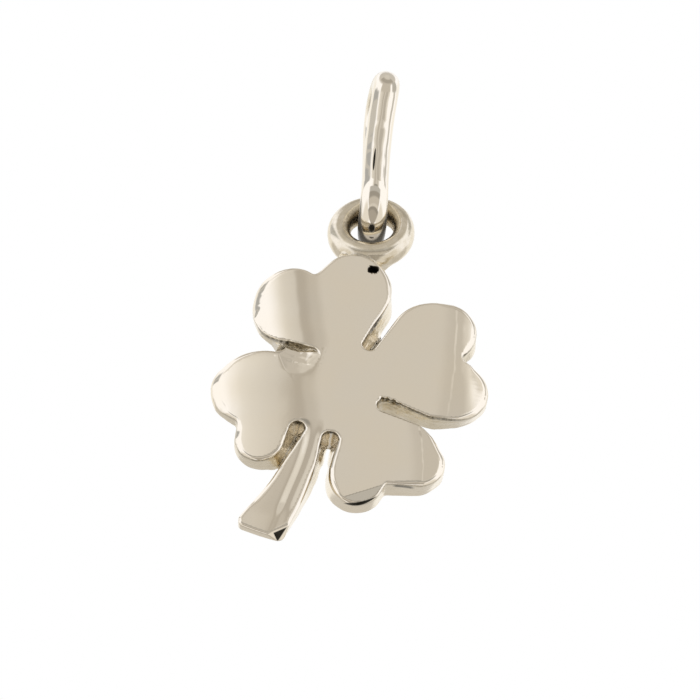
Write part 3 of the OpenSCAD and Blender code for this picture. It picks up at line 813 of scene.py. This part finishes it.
# ------------------------------------------------------------------ materials
def gold(name, base, rough):
    m = bpy.data.materials.new(name)
    m.use_nodes = True
    nt = m.node_tree
    nd, lk = nt.nodes, nt.links
    b = nd["Principled BSDF"]
    tc = nd.new("ShaderNodeTexCoord")
    mp = nd.new("ShaderNodeMapping")
    mp.inputs["Scale"].default_value = (1000, 1000, 1000)     # millimetres
    lk.new(tc.outputs["Object"], mp.inputs["Vector"])

    def noise(scale, detail=3.0, rough_=0.5, vec=None):
        n = nd.new("ShaderNodeTexNoise")
        n.inputs["Scale"].default_value = scale
        n.inputs["Detail"].default_value = detail
        n.inputs["Roughness"].default_value = rough_
        lk.new(vec or mp.outputs["Vector"], n.inputs["Vector"])
        return n.outputs["Fac"]

    def rng(src, a, b_, c, d):
        n = nd.new("ShaderNodeMapRange")
        n.inputs["From Min"].default_value = a
        n.inputs["From Max"].default_value = b_
        n.inputs["To Min"].default_value = c
        n.inputs["To Max"].default_value = d
        lk.new(src, n.inputs["Value"])
        return n.outputs["Result"]

    def attr(key):
        n = nd.new("ShaderNodeAttribute")
        n.attribute_type = "GEOMETRY"
        n.attribute_name = key
        return n.outputs["Fac"]

    def math_(op, x, y=0.0):
        n = nd.new("ShaderNodeMath")
        n.operation = op
        for k, s in enumerate((x, y)):
            if isinstance(s, (int, float)):
                n.inputs[k].default_value = s
            else:
                lk.new(s, n.inputs[k])
        return n.outputs[0]

    def mix(f, x, y):
        n = nd.new("ShaderNodeMix")
        n.data_type = "RGBA"
        lk.new(f, n.inputs["Factor"])
        for key, s in (("A", x), ("B", y)):
            sock = [i for i in n.inputs if i.name == key and i.type == "RGBA"][0]
            if isinstance(s, tuple):
                sock.default_value = s
            else:
                lk.new(s, sock)
        return [o for o in n.outputs if o.type == "RGBA"][0]

    def parts(key):
        n = nd.new("ShaderNodeAttribute")
        n.attribute_type = "GEOMETRY"
        n.attribute_name = key
        p = nd.new("ShaderNodeSeparateXYZ")
        lk.new(n.outputs["Vector"], p.inputs[0])
        return p.outputs

    def most(*values):
        out = values[0]
        for v in values[1:]:
            out = math_("MAXIMUM", out, v)
        return out

    def times(*values):
        out = values[0]
        for v in values[1:]:
            out = math_("MULTIPLY", out, v)
        return out

    def curve(u, a, b, c_):
        """a u2 + b u + c"""
        return math_("ADD", math_("MULTIPLY", math_("ADD", math_("MULTIPLY", u, a), b), u), c_)

    satin, grime_and_shade, ring, shade = attr("satin"), attr("grime_and_shade"), attr("ring"), attr("shade")
    # painted dark reflections: crescents and a short arc on the bottom leaf's edge, and a facet at the foot
    sx, sy, depth_ = parts("sheet")
    near_front = rng(depth_, -0.02, -0.12, 0, 1)
    u = math_("MULTIPLY", math_("SUBTRACT", sx, 360.0), 1 / 16)
    crescent = times(rng(math_("SUBTRACT", sy, curve(u, -1.744, -3.206, 501.115)), 0.0, 0.9, 0, 1),
                     rng(math_("SUBTRACT", curve(u, -5.089, -3.107, 505.631), sy), 0.0, 0.9, 0, 1),
                     rng(sx, 342.0, 345.0, 0, 1), rng(sx, 379.0, 376.0, 0, 1))
    t = math_("MULTIPLY", math_("SUBTRACT", sx, 404.0), 1 / 10)
    arc_ = times(rng(math_("ABSOLUTE", math_("SUBTRACT", sy, curve(t, 0.25, 1.1, 486.6))), 1.5, 0.6, 0, 0.72),
                 rng(sx, 392.0, 396.0, 0, 1), rng(sx, 415.0, 411.0, 0, 1))
    facet = times(rng(math_("ADD", math_("SUBTRACT", sy, 532.8), math_("MULTIPLY", math_("SUBTRACT", sx, 673.2), 0.43)), -0.3, 0.6, 0, 1),
                  rng(math_("SUBTRACT", math_("SUBTRACT", sx, 673.2), math_("MULTIPLY", math_("SUBTRACT", sy, 532.8), 0.458)), -0.3, 0.6, 0, 1),
                  rng(math_("ADD", sx, math_("MULTIPLY", math_("SUBTRACT", sy, 527.7), 0.646)), 687.0, 686.1, 0, 1),
                  rng(sy, 541.0, 540.0, 0, 1))
    # the fine dark line on the bail, a painted dark reflection
    line_w, across, on_top = parts("seam_and_dark_line")
    painted_dark_line = times(rng(math_("SUBTRACT", line_w, math_("ABSOLUTE", across)), 0.0, 0.012, 0, 1), on_top)
    shade = most(shade, times(most(crescent, arc_, facet), near_front), painted_dark_line)
    # marks of the saw and file run round the edge: fine across it and long along it
    cut = nd.new("ShaderNodeMapping")
    cut.inputs["Scale"].default_value = (1500, 9000, 1500)
    lk.new(tc.outputs["Object"], cut.inputs["Vector"])
    streaks = noise(1.0, 5.0, 0.62, cut.outputs["Vector"])
    # colour: a faint warm and cool drift in the alloy, duller on the sawn walls, painted lighter in the slits, dark
    # deposit and painted shade in the corners, and painted shade and dark reflections near black
    c = mix(rng(noise(0.55, 2.0), 0.3, 0.7, 0, 1),
            (base[0] * 1.006, base[1] * 0.998, base[2] * 0.985, 1), (base[0] * 0.992, base[1] * 0.997, base[2] * 1.012, 1))
    c = mix(math_("MULTIPLY", satin, rng(streaks, 0.34, 0.62, 0.35, 1.0)), c,
            (base[0] * 0.89, base[1] * 0.875, base[2] * 0.80, 1))
    # painted light: the slits' walls paler
    c = mix(math_("MULTIPLY", attr("pale_painted_light"), rng(streaks, 0.30, 0.60, 0.75, 1.0)), c, (0.950, 0.905, 0.815, 1))
    c = mix(math_("MULTIPLY", ring, rng(noise(4.0, 4.0, 0.6), 0.35, 0.65, 0.25, 0.9)), c,
            (base[0] * 0.83, base[1] * 0.81, base[2] * 0.74, 1))
    g = math_("MULTIPLY", grime_and_shade, rng(math_("ADD", noise(8.0, 4.0, 0.65), math_("MULTIPLY", streaks, 0.6)), 0.62, 0.95, 0.30, 1.15))
    c = mix(g, c, (0.052, 0.043, 0.026, 1))
    c = mix(math_("MULTIPLY", shade, rng(noise(3.0, 2.0), 0.2, 0.8, 0.96, 1.0)), c, (0.010, 0.008, 0.004, 1))
    lk.new(c, b.inputs["Base Color"])
    lk.new(rng(shade, 0.0, 1.0, 1.0, 0.0), b.inputs["Metallic"])
    lk.new(rng(shade, 0.0, 0.9, 0.5, 0.05), b.inputs["Specular IOR Level"])
    # roughness: mirror polish with fine wipe marks, satin walls
    stretch = nd.new("ShaderNodeMapping")
    stretch.inputs["Scale"].default_value = (900, 900, 160)
    stretch.inputs["Rotation"].default_value = (0, 0.5, 0)
    lk.new(tc.outputs["Object"], stretch.inputs["Vector"])
    marks = noise(9.0, 4.0, 0.7, stretch.outputs["Vector"])
    r0 = rng(marks, 0.35, 0.75, rough, rough + 0.045)
    r1 = rng(streaks, 0.3, 0.7, 0.26, 0.46)
    f = math_("MAXIMUM", satin, math_("MULTIPLY", grime_and_shade, 0.9))
    d = math_("SUBTRACT", r1, r0)
    r = math_("ADD", r0, math_("MULTIPLY", d, f))
    r = math_("ADD", r, math_("MULTIPLY", ring, 0.14))
    lk.new(r, b.inputs["Roughness"])
    # relief: orange peel on the polish, grain on the walls
    h0 = math_("MULTIPLY", noise(1.6, 2.0, 0.5), 0.0011)
    h1 = math_("MULTIPLY", marks, 0.00012)
    h2 = math_("MULTIPLY", math_("MULTIPLY", streaks, math_("MAXIMUM", satin, math_("MULTIPLY", grime_and_shade, 0.25))), 0.013)
    h3 = math_("MULTIPLY", math_("MULTIPLY", noise(5.0, 3.0, 0.6), ring), 0.003)
    h = math_("ADD", math_("ADD", h0, h1), math_("ADD", h2, h3))
    bm = nd.new("ShaderNodeBump")
    bm.inputs["Strength"].default_value = 1.0
    bm.inputs["Distance"].default_value = MM
    lk.new(h, bm.inputs["Height"])
    lk.new(bm.outputs["Normal"], b.inputs["Normal"])
    return m


clover.data.materials.append(gold("clover_gold", (0.880, 0.810, 0.680), 0.045))
bail.data.materials.append(gold("bail_gold", (0.885, 0.820, 0.695), 0.045))


# ------------------------------------------------------------------ studio
class Expr:
    """Small helper for the studio's light, drawn over the direction that it comes from."""

    def __init__(self, nt):
        self.nt, self.nd, self.lk = nt, nt.nodes, nt.links

    def op(self, name, *args):
        n = self.nd.new("ShaderNodeMath")
        n.operation = name
        for k, s in enumerate(args):
            if isinstance(s, (int, float)):
                n.inputs[k].default_value = s
            else:
                self.lk.new(s, n.inputs[k])
        return n.outputs[0]

    def step(self, x, a, b):
        """0 below a and 1 above b, or the other way round where a is more than b."""
        n = self.nd.new("ShaderNodeMapRange")
        n.interpolation_type = "SMOOTHSTEP"
        flip = a > b
        if flip:
            a, b = b, a
        n.inputs["From Min"].default_value = a
        n.inputs["From Max"].default_value = b
        n.inputs["To Min"].default_value = 1.0 if flip else 0.0
        n.inputs["To Max"].default_value = 0.0 if flip else 1.0
        self.lk.new(x, n.inputs["Value"])
        return n.outputs["Result"]

    def both(self, *masks):
        out = masks[0]
        for m in masks[1:]:
            out = self.op("MULTIPLY", out, m)
        return out

    def layer(self, under, mask, colour):
        n = self.nd.new("ShaderNodeMix")
        n.data_type = "RGBA"
        self.lk.new(mask, n.inputs["Factor"])
        a = [i for i in n.inputs if i.name == "A" and i.type == "RGBA"][0]
        b = [i for i in n.inputs if i.name == "B" and i.type == "RGBA"][0]
        if isinstance(under, tuple):
            a.default_value = (*under, 1)
        else:
            self.lk.new(under, a)
        if isinstance(colour, tuple):
            b.default_value = (*colour, 1)
        else:
            self.lk.new(colour, b)
        return [o for o in n.outputs if o.type == "RGBA"][0]


def grey(v, warm=0.0):
    return (v * (1 + 0.5 * warm), v * (1 - 0.2 * warm), v * (1 - 1.0 * warm))


def make_world():
    w = bpy.data.worlds.new("studio")
    bpy.context.scene.world = w
    w.use_nodes = True
    nt = w.node_tree
    ex = Expr(nt)
    tc = nt.nodes.new("ShaderNodeTexCoord")
    sep = nt.nodes.new("ShaderNodeSeparateXYZ")
    nt.links.new(tc.outputs["Generated"], sep.inputs[0])
    dx, dy, dz = sep.outputs
    deg = 180 / math.pi
    az = ex.op("MULTIPLY", ex.op("ARCTAN2", dx, ex.op("MULTIPLY", dy, -1.0)), deg)   # 0 in front, + to the right
    el = ex.op("MULTIPLY", ex.op("ARCSINE", dz), deg)
    side = ex.op("ABSOLUTE", az)
    S = ex.step
    low_el = S(el, 30, 24)          # 1 where the plate looks, 0 where the bail and the eyelet look
    c = grey(0.67, 0.05)
    # front panel: even in the middle, a little darker on both sides of it, lighter further out
    c = ex.layer(c, S(az, 2, 6), grey(0.600, 0.06))
    c = ex.layer(c, S(az, -1.5, -6), grey(0.575, 0.07))
    c = ex.layer(c, S(az, -6.5, -11.0), grey(0.495, 0.09))
    c = ex.layer(c, S(az, -13.0, -16.5), grey(0.67, 0.05))
    c = ex.layer(c, ex.both(low_el, S(side, 14, 25)), grey(0.86, 0.03))
    c = ex.layer(c, ex.both(S(el, 26, 28), S(az, 0, 8)), grey(0.52, 0.07))
    c = ex.layer(c, ex.both(S(el, 26, 28), S(side, 22, 36)), grey(0.80, 0.04))
    # above the panel: grey
    c = ex.layer(c, S(el, 36, 42), grey(0.58, 0.07))
    # the side lights: they start further out where they are high
    reach = ex.op("ADD", 20.0, ex.op("MULTIPLY", S(el, 24, 30), 18.0))
    out = ex.op("SUBTRACT", side, reach)
    c = ex.layer(c, ex.both(S(out, 0, 10), S(el, 62, 55)), (1.14, 1.15, 1.23))
    # a narrow flag in each of them, and a larger one on the left
    c = ex.layer(c, ex.both(S(side, 74, 80), S(side, 99, 93), S(el, 24, 28), ex.op("MAXIMUM", S(el, 46, 38), S(az, -20, 0))), grey(0.60, 0.02))
    c = ex.layer(c, ex.both(S(az, -46, -64), S(az, -124, -104), S(el, 20, 23), S(el, 42, 36)), (0.47, 0.48, 0.50))
    c = ex.layer(c, ex.both(S(az, -52, -60), S(az, -122, -108), S(el, 28, 29), S(el, 32.5, 31.5)), grey(0.62, 0.02))
    c = ex.layer(c, ex.both(S(az, 60, 66), S(az, 118, 106), S(el, 36, 42)), grey(0.52, 0.02))
    c = ex.layer(c, ex.both(S(side, 108, 120), S(el, 50, 40)), grey(1.02, 0.02))
    # darker towards the top and pale overhead
    c = ex.layer(c, ex.both(S(side, 96, 80), S(el, 61, 66), S(el, 80, 74)), grey(0.42, 0.08))
    c = ex.layer(c, ex.both(S(side, 80, 96), S(el, 56, 62)), grey(0.62, 0.05))
    c = ex.layer(c, S(el, 76, 84), grey(0.68, 0.05))
    c = ex.layer(c, ex.both(S(side, 100, 112), S(el, 10, 2)), grey(0.66, 0.05))
    # below the panel: a grey shelf, the room in front, and the dark place under the camera
    fore = S(side, 46, 36)
    wide = S(side, 60, 48)
    c = ex.layer(c, ex.both(fore, S(el, 9.5, 8.0)), grey(0.53, 0.02))
    c = ex.layer(c, ex.both(S(side, 14, 11), S(el, 12.8, 11.8), S(el, 8.2, 9.2)), grey(0.33, 0.05))
    c = ex.layer(c, ex.both(fore, S(el, -1, -5)), grey(0.36, 0.08))
    c = ex.layer(c, ex.both(fore, S(el, -13, -19)), grey(0.58, 0.08))
    c = ex.layer(c, ex.both(fore, S(el, -29, -35)), grey(0.70, 0.06))
    c = ex.layer(c, ex.both(wide, S(el, -38, -42)), grey(0.33, 0.09))
    c = ex.layer(c, ex.both(wide, S(el, -46, -52)), grey(0.42, 0.10))
    # the sides low down, and behind
    c = ex.layer(c, ex.both(S(side, 46, 58), S(side, 112, 100), S(el, -8, -24), S(el, -72, -62)), grey(0.84, 0.05))
    c = ex.layer(c, ex.both(S(side, 100, 110), S(el, -58, -66)), grey(0.60, 0.10))
    c = ex.layer(c, ex.both(S(side, 100, 120), S(el, -34, -42), S(el, -66, -58)), grey(0.52, 0.08))
    lp = nt.nodes.new("ShaderNodeLightPath")
    c = ex.layer(c, lp.outputs["Is Camera Ray"], (1.0, 1.0, 1.0))
    bg = nt.nodes["Background"]
    nt.links.new(c, bg.inputs["Color"])
    bg.inputs["Strength"].default_value = 1.0
    return w


make_world()


def make_floor():
    me = bpy.data.meshes.new("floor")
    s, z = 1.6, -0.36
    n = 8
    v = [(-s + 2 * s * i / n, -s + 2 * s * j / n, z) for i in range(n + 1) for j in range(n + 1)]
    f = [(i * (n + 1) + j, (i + 1) * (n + 1) + j, (i + 1) * (n + 1) + j + 1, i * (n + 1) + j + 1) for i in range(n) for j in range(n)]
    me.from_pydata(v, [], f)
    ob = bpy.data.objects.new("floor", me)
    bpy.context.scene.collection.objects.link(ob)
    m = bpy.data.materials.new("floor_pale")
    m.use_nodes = True
    b = m.node_tree.nodes["Principled BSDF"]
    b.inputs["Base Color"].default_value = (0.86, 0.86, 0.85, 1)
    b.inputs["Roughness"].default_value = 0.8
    me.materials.append(m)
    ob.visible_glossy = False


make_floor()

# ------------------------------------------------------------------ camera
ELEV = 30.29          # the camera looks up from this far below
ROLL = 8.072
SCALE = 27.101        # pixels per millimetre at the bail, in the 700 pixel picture
LENS = 400.0
SENSOR = 36.0
PX = (374.99, 202.77)  # where the middle of the bail's lower end shows in the picture


def set_camera():
    e, r = rad(ELEV), rad(ROLL)
    back = Vector((0, -math.cos(e), -math.sin(e)))
    right = Vector((1, 0, 0))
    up = back.cross(right)
    ix = math.cos(r) * right + math.sin(r) * up
    iy = -math.sin(r) * right + math.cos(r) * up
    dist = LENS / SENSOR * 700.0 / SCALE
    # the picture's middle, from the anchor, in mm
    centre = Vector(A.tolist()) + ix * ((350.0 - PX[0]) / SCALE) - iy * ((350.0 - PX[1]) / SCALE)
    cam = bpy.data.cameras.new("camera")
    cam.lens = LENS
    cam.sensor_width = SENSOR
    cam.clip_start = 0.001
    cam.clip_end = 100
    ob = bpy.data.objects.new("camera", cam)
    m = Matrix((ix, iy, back)).transposed().to_4x4()
    m.translation = (centre + back * dist) * MM
    ob.matrix_world = m
    bpy.context.scene.collection.objects.link(ob)
    bpy.context.scene.camera = ob


set_camera()
sc = bpy.context.scene
sc.view_settings.view_transform = "Standard"
sc.view_settings.look = "None"
